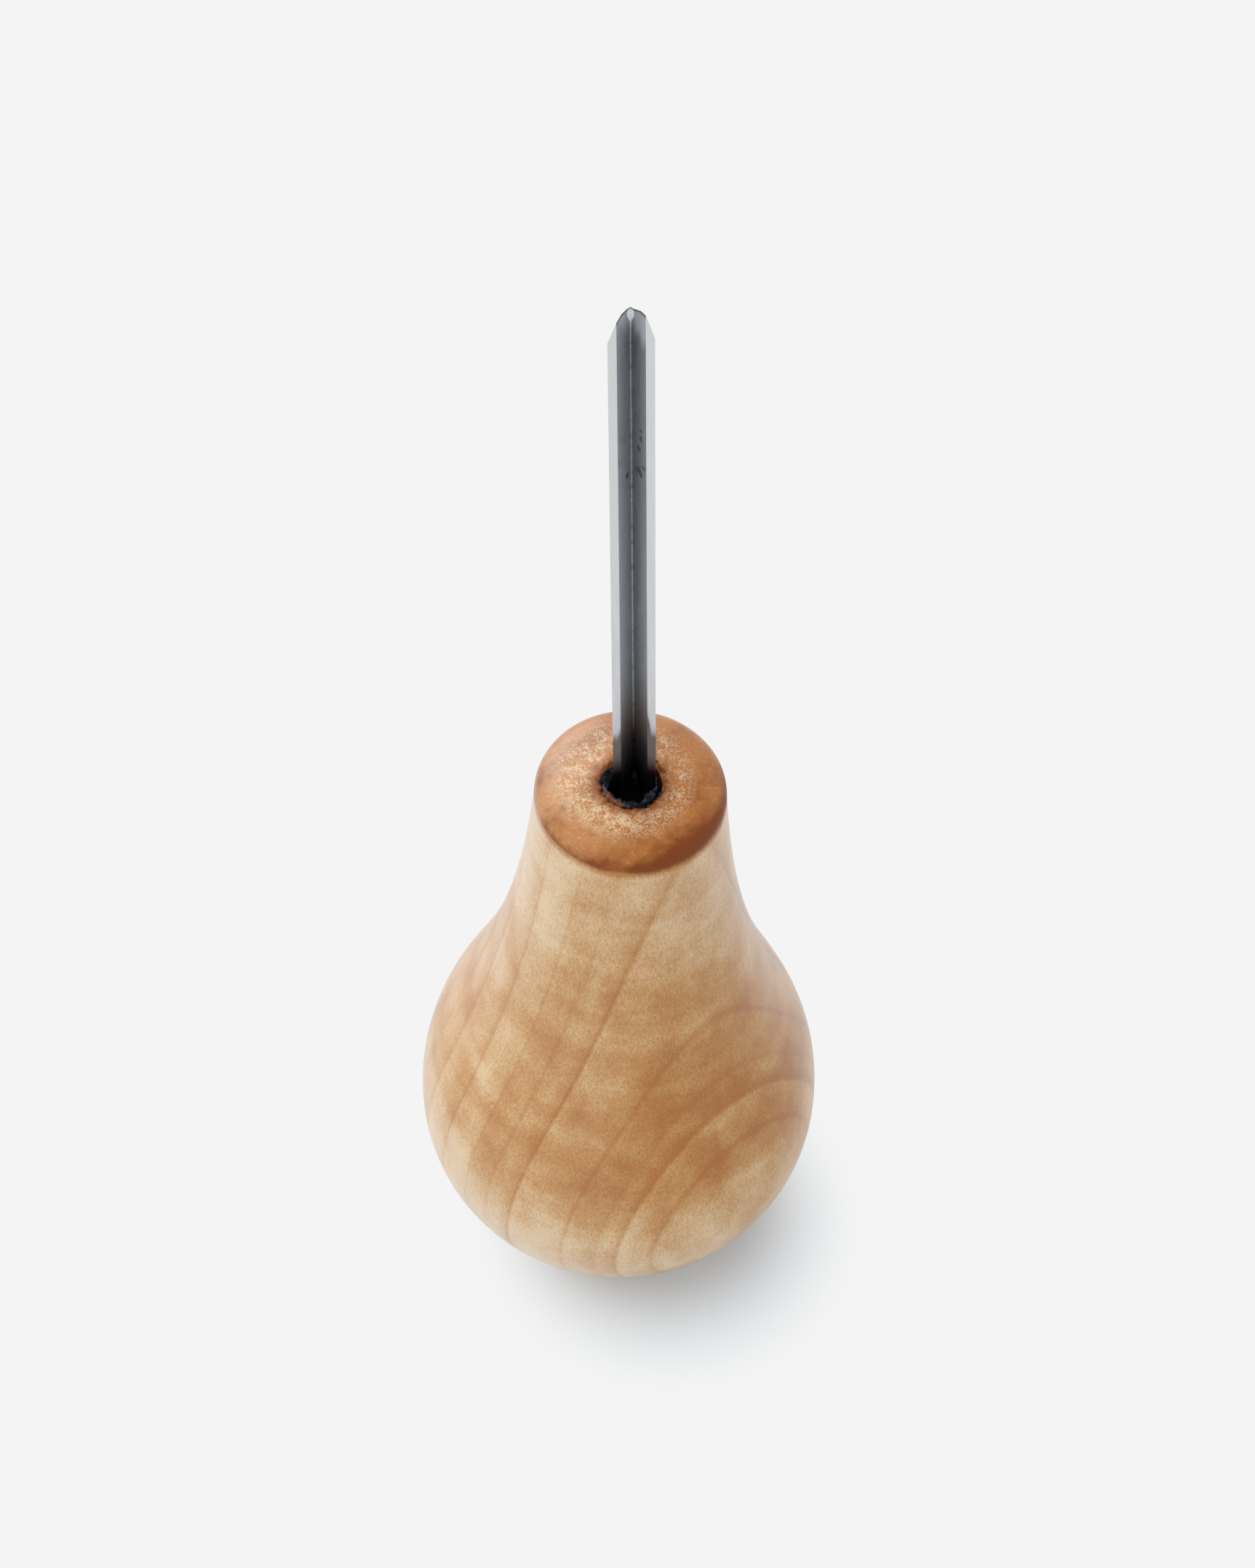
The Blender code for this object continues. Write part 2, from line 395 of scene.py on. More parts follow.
def ring_stops():
    """Tone of the wood across its rings: it darkens up to each ring and is clear after it."""
    stops = []
    level = 0.3
    for place, width, depth, after in RINGS:
        tones = [(-width, level)] + [(shift, level - depth * share) for shift, share in RING_STEPS]
        for shift, tone in tones + [(RING_CLEAR, after)]:
            stops.append((ring_share(place + shift), TONE_MIDDLE + tone))
        level = after
    return stops


def wood_tones(place):
    """The place across the rings, the tone of all the figure with painted sheen and reflection, and
    its fibres and pores.
    """
    z = place.parts()[2]
    drift = place.mapped(scale=(1, 1, 0.35)).ripple(0.09, 1.0)
    waver = place.mapped(scale=(1, 1, 0.12)).ripple(0.7, 2.0)
    across = place.dot(RING_NORMAL) + drift * 0.4 + waver * 0.2
    where = ring_share(across)
    stops = ring_stops()
    half = len(stops) // 2
    seam = stops[half][0]
    left = where.ramp(stops[: half + 1])
    right = where.ramp(stops[half:])
    rings = where.step(seam - 0.0005, seam + 0.0005).mix(left, right)
    rings = (z.step(54.0, 66.0) * 0.5).mix(rings, (NECK_TONE,) * 3)

    wave = place.mapped(scale=(1, 1, 0.4)).ripple(0.14, 1.0)
    paler = [(height / CURL_SPAN, 0.5 + amount) for height, amount in CURL]
    bands = ((z + wave * 3.0) / CURL_SPAN).ramp(paler, "EASE") - 0.5
    # Paler low on the bulb, most at the front and left: partly paler wood, partly a painted
    # reflection of the floor.
    front = (place.dot((-0.0091, -0.0340, 0)) - 0.05).math("MAXIMUM", 0.12)
    butt = (1 - (z + wave * 2.0).step(17.5, 26.0)) * front
    curl = place.mapped(scale=(0.25, 0.25, 1)).ripple(0.5, 2.0, 0.5, 0.6)
    blotch = place.mapped(scale=(1, 1, 0.55)).ripple(0.28, 2.0, 0.55)
    # Painted sheen: the neck is painted lighter towards its left edge.
    neck_sheen = place.dot((-0.028, 0, 0)).math("MAXIMUM", 0.0) * z.step(50.0, 61.0)
    figure = bands * 1.2 + butt + curl * 0.5 + blotch * 1.25 + neck_sheen

    fibre = place.mapped(scale=(1, 1, 0.25)).ripple(5.5, 2.0, 0.6)
    pores = place.mapped(scale=(1, 1, 0.30)).noise(11.0, 1.0).step(0.48, 0.80)
    tone = rings + figure + fibre * 0.9 - pores * 0.6 + 0.05
    return across, tone, fibre, pores


DOME_STREAKS = (
    # place across the rings in mm, how dark the burnished dome is there
    (-12.4, 0.30),
    (-11.1, 0.62),
    (-10.2, 0.55),
    (-9.2, 0.22),
    (-8.4, 0.16),
    (-7.5, 0.30),
    (-6.8, 0.50),
    (-5.9, 0.30),
    (-4.4, 0.18),
    (-2.9, 0.16),
    (-2.0, 0.20),
    (-0.7, 0.34),
    (0.3, 0.22),
    (0.9, 0.12),
    (1.7, 0.36),
    (2.8, 0.80),
    (4.0, 0.60),
)


def dome_shade(looks, place, neck, across):
    """Colour of the burnished dome with a painted sheen on its left, and how much of it is torn end
    grain.
    """
    x, y, z = place.parts()
    ragged = place.mapped(scale=(1, 1, 0.2)).ripple(2.6, 3.0, 0.65)
    edge = (z + ragged * 0.35).step(neck, neck + 0.5)
    edge = edge - (z + ragged * 0.5 - place.dot((0.05, -0.06, 0))).step(neck + 0.3, neck + 1.3)
    clouds = place.mapped(rotation=(0, 0, RING_TURN), scale=(0.3, 1, 1)).ripple(0.7, 3.0, 0.55)
    streaks = [(ring_share(at), shade) for at, shade in DOME_STREAKS]
    streak = ring_share(across + clouds * 0.9).ramp(streaks, "EASE")
    specks = place.ripple(4.0, 3.0, 0.75)
    patches = place.ripple(0.9, 2.0, 0.6)
    dark = streak + edge * 0.5 + clouds * 0.6 + patches * 0.8 + specks * 0.5
    dark = dark + place.dot((0.012, -0.008, 0))
    # Painted sheen: the dome is paler towards its left; the pale specks are torn end grain.
    sheen_and_flecks = place.dot((-0.021, -0.003, 0)).math("MAXIMUM", 0.0) + specks.step(0.04, 0.18) * 0.35
    burnt = sheen_and_flecks.mix(looks.burnt_wood, looks.torn_wood_and_sheen)
    burnt = dark.step(0.0, 1.0).mix(burnt, looks.scorched_wood)

    radius = hypot(x, y)
    shreds = place.ripple(4.2, 3.0, 0.7, 1.4)
    reach = radius + patches * 3.0 + shreds * 3.0 + place.dot((0.09, -0.02, 0))
    zone = (radius + patches * 1.6).step(3.0, 4.0) * (1 - reach.step(5.4, 7.4))
    loose = patches * 0.45 + shreds + place.dot((-0.005, -0.006, 0)) + 0.01
    bare = loose.step(-0.07, 0.19) * zone * 0.9
    return bare.mix(burnt, looks.torn_wood_and_sheen), bare


# Middle of the burnt mouth in mm, and how it is stretched across and along.
MOUTH_CENTRE = (0.05, -0.95)
MOUTH_STRETCH = (1.1, 0.93)


def burnt_mouth(place, neck):
    """How far the wood round the socket is singed, and how far it is charred."""
    x, y, z = place.parts()
    across = (x - MOUTH_CENTRE[0]) / MOUTH_STRETCH[0]
    along = (y - MOUTH_CENTRE[1]) / MOUTH_STRETCH[1]
    reach = hypot(across, along) + place.ripple(1.1, 4.0, 0.7) * 1.8
    on_top = z.step(neck + 0.5, neck + 1.5)
    singed = (1 - reach.step(2.5, 4.1)) * on_top * 0.85
    charred = (1 - reach.step(2.3, 2.75)) * on_top
    return singed, charred


def wood_wear(place, neck, bare):
    """How far the wood's gloss is rubbed off."""
    x, y, z = place.parts()
    polish = place.dot((-0.45, 0.89, 0)).step(-2.5, 4.0)
    gripped = (place.dot((0.62, -0.785, 0)) / hypot(x, y)).step(0.65, 1.0)
    gripped = gripped * (1 - z.step(48.0, 60.0)) * 0.55
    gloss = x.step(-2.0, 6.0) * (y.step(-4.0, 3.0) * 0.4 + 0.15)
    rubbed = z.step(neck - 0.8, neck - 0.3) - z.step(neck + 0.6, neck + 1.6) * gloss
    return rubbed * (1 - polish) + gripped + bare * 0.2


def wood_finish(looks, sizes):
    """Satin wood with growth rings, curl, fibres, a burnished dome and a burnt mouth."""
    constants = {"IOR": 1.5, "Specular IOR Level": 0.15, "Coat Roughness": 0.32}
    material, shader, place = new_finish("turned_wood", constants)
    z = place.parts()[2]
    neck = sizes.neck_height() / MM
    across, tone, fibre, pores = wood_tones(place)
    wood = (tone / TONE_TOP).ramp(
        [
            (0.05 / TONE_TOP, looks.ring_wood),
            (TONE_MIDDLE / TONE_TOP, looks.warm_wood),
            (0.98 / TONE_TOP, looks.pale_wood),
            (1.0, looks.bare_wood),
        ]
    )
    pink = 1 - place.distance(PINK_SPOT).step(0.2, 1.2)
    wood = (pink * 0.3).mix(wood, looks.pink_wood)
    ragged = place.mapped(scale=(1, 1, 0.2)).ripple(3.4, 3.0, 0.65)
    halo = (z + ragged * 1.2).step(neck - 1.0, neck + 0.3)
    wood = (halo * 0.75).mix(wood, looks.ring_wood)

    dome = (z + ragged * 0.8).step(neck - 0.35, neck + 0.5)
    dome_wood, bare = dome_shade(looks, place, neck, across)
    singed, charred = burnt_mouth(place, neck)
    shade = dome.mix(wood, dome_wood)
    shade = singed.mix(shade, looks.scorched_wood)
    shade = charred.mix(shade, looks.char)
    worn_and_lit = wood_wear(place, neck, bare)
    feed(
        shader,
        Base_Color=shade,
        Roughness=0.38 + fibre * 0.25 + bare * 0.25 + charred * 0.2,
        Coat_Weight=(1 - worn_and_lit).math("MAXIMUM", 0.0),
        Normal=(fibre * 0.4 - pores * 0.6 + bare * 1.2).bump(0.25, 0.02 * MM),
    )
    return material


NICKS = (
    # across the blade and up it in mm, half width, half height
    (0.74, 49.3, 0.12, 0.16),
    (0.74, 48.3, 0.11, 0.42),
    (0.58, 46.7, 0.14, 0.42),
    (0.70, 43.6, 0.15, 0.46),
    (0.97, 44.9, 0.12, 0.24),
    (-0.37, 42.7, 0.11, 0.40),
)
EDGE_HALF = 2.0
EDGE_SPAN = 10.0
EDGE_LINE = (
    # across the blade in mm, height of the cutting edge over its middle
    (-1.9, -3.1),
    (-1.17, -0.2),
    (-0.72, 0.0),
    (-0.27, -0.3),
    (0.0, 0.0),
    (0.27, -0.3),
    (0.72, 0.45),
    (1.17, 0.65),
    (1.9, -3.0),
)


def nicks(x, z):
    """Small dark marks on the walls of the groove."""
    marks = 0
    for across, up, wide, high in NICKS:
        sideways = (x - across) / wide
        upwards = (z - up) / high
        marks = 1 - (sideways * sideways + upwards * upwards).step(0.5, 1.3) + marks
    return marks


def wall_shade(looks, sizes, local, streak, smear):
    """Colour of the groove's walls: painted shade at the root and on the right, honed at the end.
    """
    x, y, z = local.parts()
    rim = sizes.rim_place() / MM
    root = sizes.root_place() / MM
    tip = sizes.exposed / MM
    right = x.step(-0.05, 0.05)
    grit = local.mapped(scale=(1, 1, 0.5)).ripple(5.0, 3.0, 0.7)
    # Painted light: the left wall is painted lighter towards the foot.
    worn_and_lit = (1 - right) * (0.45 - z * 0.005).math("MAXIMUM", 0.0)
    # Painted shade: the walls darken towards the root of the V, and faster on the right wall.
    depth = (y - rim) / (root - rim) * (0.85 + right * 0.7) - worn_and_lit
    depth = depth + smear * 0.9 + streak * 0.8 + grit * 1.1
    wall = depth.mix(looks.wall_steel, looks.root_shade_steel)
    # Painted shade: the right wall is darkened further, more so towards the cutting edge.
    wall = (right * (0.35 + z * 0.003)).mix(wall, looks.stain_and_shade)
    honed = (z + smear * 4.0).step(tip - 4.2, tip - 1.4)
    return honed.mix(wall, looks.ground_steel)


def groove_shade(looks, sizes, local, wall, smear, in_root):
    """Colour of the groove: its walls with spots, nicks, a dark burr and soot at the foot."""
    x, y, z = local.parts()
    from_rim = sizes.groove_width / 2 / MM - x.math("ABSOLUTE")
    wall_y = from_rim / math.tan(sizes.groove_angle / 2) + sizes.rim_place() / MM
    inside = 1 - (y - wall_y).step(0.3, 0.6)
    spots = local.mapped(scale=(1, 1, 0.35)).noise(3.4, 2.0, 0.7).step(0.70, 0.78)
    broken = local.mapped(scale=(0, 0, 1)).noise(0.9, 3.0, 0.7).step(0.5, 0.62)
    broken = broken + 1.2 - z.step(4.0, 11.0) * 1.2
    marks = spots * 0.7 + nicks(x, z) + broken * in_root * 0.5
    groove = ((marks * 0.85).math("MINIMUM", 0.9) * inside).mix(wall, looks.stain_and_shade)

    stops = [((at + EDGE_HALF) / (2 * EDGE_HALF), 0.5 + up / EDGE_SPAN) for at, up in EDGE_LINE]
    edge = ((x + EDGE_HALF) / (2 * EDGE_HALF)).ramp(stops) - 0.5
    burr = (z - sizes.exposed / MM - edge * EDGE_SPAN).step(-0.50, -0.20)
    groove = (burr * inside * 0.75).mix(groove, looks.stain_and_shade)
    sooty = 1 - (z + smear * 3.0).step(4.0, 18.0) * 0.3 - z.step(-1.0, 3.0) * 0.65
    return sooty.mix(groove, looks.stain_and_shade)


def rim_shade(looks, sizes, local, streak, smear, dull):
    """Colour of the ground rims: rubbed along their length, dull and sooty at the foot, with
    painted shade on their inner edges.
    """
    x, _, z = local.parts()
    right = x.step(-0.05, 0.05)
    rubbed = (streak + smear * 0.5 + 0.45 - z * 0.008).step(0.0, 1.0)
    rims = rubbed.mix(looks.ground_steel, looks.worn_steel)
    rims = (dull * 0.6).mix(rims, looks.dull_steel)
    inner = sizes.groove_width / 2 / MM
    inner_edge = 1 - x.math("ABSOLUTE").step(inner, inner + 0.35)
    # Painted shade: the stain reaches higher along the rims' inner edges, most on the right rim.
    free_of_soot_and_shade = (z + smear * 2.0 - right * 0.6 - inner_edge * (1.2 + right * 1.6)).step(6.0, 8.0)
    return (0.96 - z.step(-0.5, 4.0) * 0.14 - free_of_soot_and_shade * 0.82).mix(rims, looks.stain_and_shade)


def steel_finish(looks, sizes, lean_place):
    """Steel with ground rims, a groove dark with painted shade and drawn streaks, a honed end and
    stains.
    """
    material, shader, place = new_finish("tool_steel", {})
    local = place.mapped(**lean_place)
    x, y, z = local.parts()
    rim = sizes.rim_place() / MM
    streak = local.mapped(scale=(1, 1, 0.012)).ripple(16.0, 3.0, 0.6)
    smear = local.mapped(scale=(1, 1, 0.18)).ripple(1.5, 3.0, 0.6)
    right = x.step(-0.05, 0.05)
    in_root = 1 - x.math("ABSOLUTE").step(0.06, 0.16)
    ground = 1 - y.step(rim + 0.015, rim + 0.06)
    dull = ground * z.step(1.2, 5.0) * (1 - (z + right * 2.0).step(8.0, 15.0))
    left_wall = (1 - ground) * (1 - right) * z.step(4.0, 14.0)
    root_shine = in_root * z.step(4.0, 9.0) * (1 - z.step(12.0, 30.0))

    wall = wall_shade(looks, sizes, local, streak, smear)
    groove = groove_shade(looks, sizes, local, wall, smear, in_root)
    rims = rim_shade(looks, sizes, local, streak, smear, dull)
    feed(
        shader,
        Base_Color=ground.mix(groove, rims),
        Metallic=1 - dull * 0.7 - left_wall * 0.13 - root_shine * 0.25,
        Roughness=0.24 + streak * 0.12 + smear * 0.10 + (1 - ground) * 0.06,
        Normal=streak.bump(0.12, 0.01 * MM),
    )
    return material


def char_finish(looks):
    """Brittle black char with a painted blue-grey sheen on its glassy skin in places, and singed
    crumbs in front.
    """
    material, shader, place = new_finish("black_char", {"IOR": 1.35})
    grains = place.noise(3.2, 4.0, 0.7)
    skin = place.noise(1.1, 2.0).step(0.40, 0.57)
    # Painted sheen: blue-grey highlights on the glassy lumps, painted into their colour.
    shade = (grains * skin).step(0.20, 0.52).mix(looks.char, looks.char_skin_and_sheen)
    ragged = place.ripple(1.6, 3.0, 0.65)
    crumbs = (place.dot((-0.62, -0.78, 0)) + ragged * 1.4).step(2.45, 3.10)
    shade = crumbs.mix(shade, looks.char_crumbs)
    feed(
        shader,
        Base_Color=shade,
        Roughness=0.75 - skin * 0.35,
        Normal=grains.bump(0.9, 0.15 * MM),
    )
    return material


def begin(name, add, **options):
    """Add one primitive, with nothing else selected, and open it for editing."""
    bpy.ops.object.select_all(action="DESELECT")
    add(**options)
    piece = bpy.context.object
    piece.name = name
    piece.data.name = name
    bpy.ops.object.mode_set(mode="EDIT")
    bpy.ops.mesh.select_mode(type="VERT")
    return piece


def draw(name, points):
    """Draw a line through points, by extruding from the first one."""
    piece = begin(name, bpy.ops.mesh.primitive_plane_add, size=MM, location=(0, 0, 0))
    bpy.ops.mesh.merge(type="CENTER")
    bpy.ops.transform.translate(value=points[0])
    for before, after in zip(points, points[1:]):
        bpy.ops.mesh.extrude_region_move(TRANSFORM_OT_translate={"value": after - before})
    bpy.ops.mesh.select_all(action="SELECT")
    return piece


def select(piece, wanted):
    """Select the vertices whose place passes a test."""
    bpy.ops.mesh.select_all(action="DESELECT")
    shape = bmesh.from_edit_mesh(piece.data)
    for vertex in shape.verts:
        if wanted(vertex.co):
            vertex.select_set(True)
    shape.select_flush(True)
    bmesh.update_edit_mesh(piece.data)


def close_up():
    """Merge doubles and turn all faces outwards."""
    bpy.ops.mesh.select_all(action="SELECT")
    bpy.ops.mesh.remove_doubles(threshold=0.002 * MM)
    bpy.ops.mesh.normals_make_consistent(inside=False)


def turn(steps):
    """Turn the drawn line about the handle's axis into a closed skin."""
    bpy.ops.mesh.select_all(action="SELECT")
    bpy.ops.mesh.spin(steps=steps, angle=math.tau, center=(0, 0, 0), axis=(0, 0, 1))
    close_up()


def swing(turned, axis, pivot):
    """Turn what is selected about a pivot."""
    bpy.ops.transform.rotate(value=turned, orient_axis=axis, center_override=pivot)


def finish_piece(piece, material, node, smooth):
    """Give a piece its material and its body, and hide the solid that it stands for."""
    bpy.ops.object.mode_set(mode="OBJECT")
    bpy.ops.object.shade_smooth_by_angle(angle=smooth)
    piece.data.materials.clear()
    piece.data.materials.append(material)
    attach(piece, "root")
    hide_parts(node)


def weld(piece, other):
    """Join another closed body into a piece."""
    bpy.ops.object.select_all(action="DESELECT")
    bpy.context.view_layer.objects.active = piece
    piece.select_set(True)
    union = piece.modifiers.new("weld", "BOOLEAN")
    union.operation = "UNION"
    union.object = other
    bpy.ops.object.modifier_apply(modifier=union.name)
    bpy.data.objects.remove(other)


def roughen(piece, group, texture, size, strength, middle=0.5):
    """Push vertices in and out by a cloud texture, where a vertex group says."""
    clouds = bpy.data.textures.new(texture, "CLOUDS")
    clouds.noise_scale = size
    clouds.noise_depth = 3
    displace = piece.modifiers.new(texture, "DISPLACE")
    displace.texture = clouds
    displace.texture_coords = "LOCAL"
    displace.strength = strength
    displace.mid_level = middle
    displace.vertex_group = group
    bpy.ops.object.modifier_apply(modifier=displace.name)


def weight(piece, group, amount):
    """A vertex group whose weights follow from each vertex's place."""
    members = piece.vertex_groups.new(name=group)
    for vertex in piece.data.vertices:
        share = amount(vertex.co)
        if share > 0:
            members.add([vertex.index], share, "REPLACE")


def ease(value, low, high):
    """0 at one value, 1 at the other, and smooth between."""
    share = min(max((value - low) / (high - low), 0.0), 1.0)
    return share * share * (3 - 2 * share)


def cubic(corners, count):
    """Points along a cubic curve, without its first."""
    points = []
    for i in range(1, count + 1):
        t = i / count
        weights = ((1 - t) ** 3, 3 * t * (1 - t) ** 2, 3 * t * t * (1 - t), t**3)
        points.append(sum((w * c for w, c in zip(weights, corners)), Vector((0, 0, 0))))
    return points


def arc(centre, radius, first, last, count):
    """Points along an arc in the XZ plane."""
    points = []
    for i in range(count + 1):
        turned = first + (last - first) * i / count
        points.append(centre + radius * Vector((math.cos(turned), 0, math.sin(turned))))
    return points


# The socket's straight throat in mm, and the steps along each part of the outline.
THROAT_DEPTH = 5
THROAT_STEPS = 12
LIP_STEPS = 6
DOME_STEPS = 40
DOME_CROWDING = 2.2
SIDE_STEPS = 64
BUTT_STEPS = 30


def handle_line(sizes):
    """The handle's outline at +X, from the floor of its socket over the dome to the butt."""
    neck = Vector((sizes.neck_diameter / 2, 0, sizes.neck_height()))
    bore = sizes.socket_diameter / 2
    mouth = bore + sizes.mouth_burn
    top = sizes.dome_height()
    floor = top - sizes.socket_depth
    throat = top - THROAT_DEPTH * MM
    socket = [(0.0, floor), (0.55 * bore, floor), (0.62 * bore, floor + 2.4 * MM)]
    socket += [(0.93 * bore, top - 9 * MM), (bore, throat)]
    line = [Vector((across, 0, height)) for across, height in socket]
    for i in range(1, THROAT_STEPS + 1):
        rise = i / THROAT_STEPS * (THROAT_DEPTH * MM - sizes.mouth_burn)
        line.append(Vector((bore, 0, throat + rise)))
    power = sizes.dome_squareness

    def dome_point(across):
        rise = sizes.dome_rise * (1 - (across / neck.x) ** power) ** (1 / power)
        return Vector((across, 0, neck.z + rise))

    brim = line[-1]
    lip = dome_point(mouth)
    line += [brim.lerp(lip, i / LIP_STEPS) for i in range(1, LIP_STEPS)]
    for i in range(DOME_STEPS):
        outward = 1 - (1 - i / DOME_STEPS) ** DOME_CROWDING
        line.append(dome_point(mouth + (neck.x - mouth) * outward))
    bulb = Vector((sizes.bulb_diameter / 2, 0, sizes.bulb_height()))
    below = neck + Vector((sizes.neck_reach * math.tan(sizes.neck_flare), 0, -sizes.neck_reach))
    above = bulb + Vector((0, 0, sizes.bulb_fullness))
    line += [neck] + cubic((neck, below, above, bulb), SIDE_STEPS)
    lowest = -math.asin(bulb.z / bulb.x)
    line += arc(Vector((0, 0, bulb.z)), bulb.x, 0, lowest, BUTT_STEPS)[1:]
    flat = sizes.butt_flat / 2
    line += [Vector((flat * share, 0, 0)) for share in (0.93, 0.6, 0.3, 0.0)]
    return line


class PALMTOOL_OT_handle(bpy.types.Operator):
    """Turn the handle, lean its socket and crumble the socket's burnt mouth"""

    bl_idname = "palmtool.handle"
    bl_label = "Handle"

    def execute(self, context):
        sizes = context.scene.palm_handle
        blade = context.scene.palm_blade
        piece = draw("turned_handle", handle_line(sizes))
        turn(sizes.steps)
        top = sizes.dome_height()
        bulb = sizes.bulb_height()
        bore = sizes.socket_diameter / 2 + 0.01 * MM
        select(piece, lambda co: co.xy.length < bore and bulb < co.z < top)
        swing(blade.lean, "Y", (0, 0, top))
        reach = sizes.socket_diameter / 2 + sizes.mouth_burn
        select(piece, lambda co: co.xy.length < reach * 1.1 and top - 6 * MM < co.z)
        bpy.ops.transform.translate(
            value=(blade.offset, -sizes.mouth_forward, 0),
            use_proportional_edit=True,
            proportional_edit_falloff="SMOOTH",
            proportional_size=3 * MM,
        )
        bpy.ops.object.mode_set(mode="OBJECT")

        def crumbling(co):
            across = (co.xy - Vector((blade.offset, -sizes.mouth_forward))).length
            return ease(across, reach * 1.35, reach) * ease(co.z, top - 4 * MM, top - 1 * MM)

        weight(piece, "mouth", crumbling)
        roughen(piece, "mouth", "crumbled_mouth", size=0.55 * MM, strength=0.5 * MM)
        neck = sizes.neck_height()

        def tearing(co):
            return ease(co.z, neck + 1.6 * MM, neck + 2.4 * MM) if co.xy.length > reach else 0

        weight(piece, "end_grain", tearing)
        roughen(piece, "end_grain", "torn_end_grain", size=0.45 * MM, strength=0.06 * MM)
        wood = wood_finish(context.scene.palm_finishes, sizes)
        finish_piece(piece, wood, "handle", math.radians(60))
        return {"FINISHED"}


def wall_row(sizes, half_width, radius, count):
    """Places along one face of the V, from the right rim round its bottom to the left rim."""
    half_angle = sizes.groove_angle / 2
    rim = sizes.rim_place()
    apex = rim + half_width / math.tan(half_angle)
    centre = apex - radius / math.sin(half_angle)
    row = [Vector((half_width, rim, 0))]
    for i in range(count):
        turned = half_angle + (math.pi - sizes.groove_angle) * i / (count - 1)
        row.append(Vector((radius * math.cos(turned), centre + radius * math.sin(turned), 0)))
    return row + [Vector((-half_width, rim, 0))]


ROOT_POINTS = 9
KEEL_POINTS = 11
KEEL_CUTS = 12
# Rings along the blade in mm: over the dome, and back from the cutting edge.
STATIONS = (0, 4, 8, 12, 20, 30, 40, 50)
END_STATIONS = (8.0, 4.0, 2.4, 1.3, -1.5)


class PALMTOOL_OT_blade(bpy.types.Operator):
    """Draw the V, extrude it to the tip, grind the end and break its edges"""

    bl_idname = "palmtool.blade"
    bl_label = "Blade"

    def execute(self, context):
        sizes = context.scene.palm_blade
        dome = context.scene.palm_handle.dome_height()
        inner = wall_row(sizes, sizes.groove_width / 2, sizes.root_radius, ROOT_POINTS)
        outer = wall_row(sizes, sizes.half_width(), sizes.keel_radius, KEEL_POINTS)
        down = Vector((0, 0, -sizes.seat))
        outline = [place + down for place in outer + inner[::-1]]
        piece = draw("v_section_blade", outline)
        bpy.ops.mesh.edge_face_add()
        bpy.ops.mesh.duplicate()
        stations = [height * MM for height in STATIONS]
        stations += [sizes.exposed - back * MM for back in END_STATIONS]
        last = -sizes.seat
        for station in stations:
            move = {"value": (0, 0, station - last)}
            bpy.ops.mesh.extrude_region_move(TRANSFORM_OT_translate=move)
            last = station
        close_up()
        self.widen_root(piece, sizes, stations[-2:])
        self.grind(sizes, inner)
        self.break_edges(piece, sizes)
        close_up()
        bpy.ops.object.mode_set(mode="OBJECT")
        self.add_tang(piece, sizes)
        root = Vector((0, sizes.root_place(), 0))
        turned = Matrix.Translation(root) @ Matrix.Rotation(sizes.turn, 4, "Z")
        turned = turned @ Matrix.Translation(-root)
        leaned = Matrix.Rotation(-sizes.lean, 4, "Y")
        seated = Matrix.Translation((sizes.offset, 0, dome)) @ leaned @ turned
        piece.matrix_world = seated
        bpy.ops.object.transform_apply(location=True, rotation=True, scale=True)
        back = seated.inverted()
        place = {"location": back.to_translation() / MM, "rotation": back.to_euler()}
        steel = steel_finish(context.scene.palm_finishes, sizes, place)
        finish_piece(piece, steel, "v_blade", math.radians(25))
        return {"FINISHED"}

    def widen_root(self, piece, sizes, stations):
        """Flatten the bottom of the groove just behind the cutting edge."""
        bottom = sizes.root_place()
        low = min(stations) - 0.1 * MM
        near = sizes.root_radius * 1.05

        def in_root(co):
            return co.z > low and abs(co.x) < near and co.y < bottom + 0.01 * MM

        select(piece, in_root)
        middle = (0, bottom - 0.5 * sizes.root_radius, 0)
        bpy.ops.transform.resize(value=(sizes.root_spread, 0.4, 1), center_override=middle)
        bpy.ops.transform.translate(value=(0, -0.3 * MM, 0))

    def grind(self, sizes, inner):
        """Cut the end with planes from the cutting edge inside to the bevel's heel outside."""
        half = sizes.groove_angle / 2
        root_half = sizes.root_spread * sizes.root_radius * math.cos(half)
        root_y = inner[0].y + (inner[0].x - root_half) / math.tan(half)
        crown = Vector((0, root_y, sizes.exposed))
        corners = []
        cuts = []
        walls = [(1, inner[0], sizes.right_lead, sizes.right_bevel)]
        walls += [(-1, inner[-1], sizes.left_lead, sizes.left_bevel)]
        for side, rim, lead, bevel in walls:
            corner = crown + Vector((side * root_half, 0, -sizes.root_crown))
            wing = Vector((rim.x, rim.y, sizes.exposed + lead))
            middle = corner.lerp(wing, 0.5) + Vector((0, 0, sizes.wing_bow))
            heel_x = side * sizes.wall * math.cos(half)
            heel = Vector((heel_x, sizes.wall * math.sin(half), -bevel))
            cuts += [(corner, middle, corner + heel), (middle, wing, middle + heel)]
            corners.append(corner)
        rise = sizes.bevel_length / sizes.wall
        for i in range(1, KEEL_CUTS):
            facing = half + (math.pi - 2 * half) * i / KEEL_CUTS
            out = Vector((math.cos(facing), math.sin(facing), 0))
            edge = max((crown, *corners), key=lambda place: place.z + rise * out.dot(place))
            heel = sizes.wall * out - Vector((0, 0, sizes.bevel_length))
            cuts.append((edge, edge + Vector((-out.y, out.x, 0)), edge + heel))
        for edge, along, heel in cuts:
            normal = (along - edge).cross(heel - edge).normalized()
            if normal.z < 0:
                normal = -normal
            bpy.ops.mesh.select_all(action="SELECT")
            bpy.ops.mesh.bisect(
                plane_co=edge,
                plane_no=normal,
                use_fill=True,
                clear_outer=True,
                threshold=0.0001 * MM,
            )

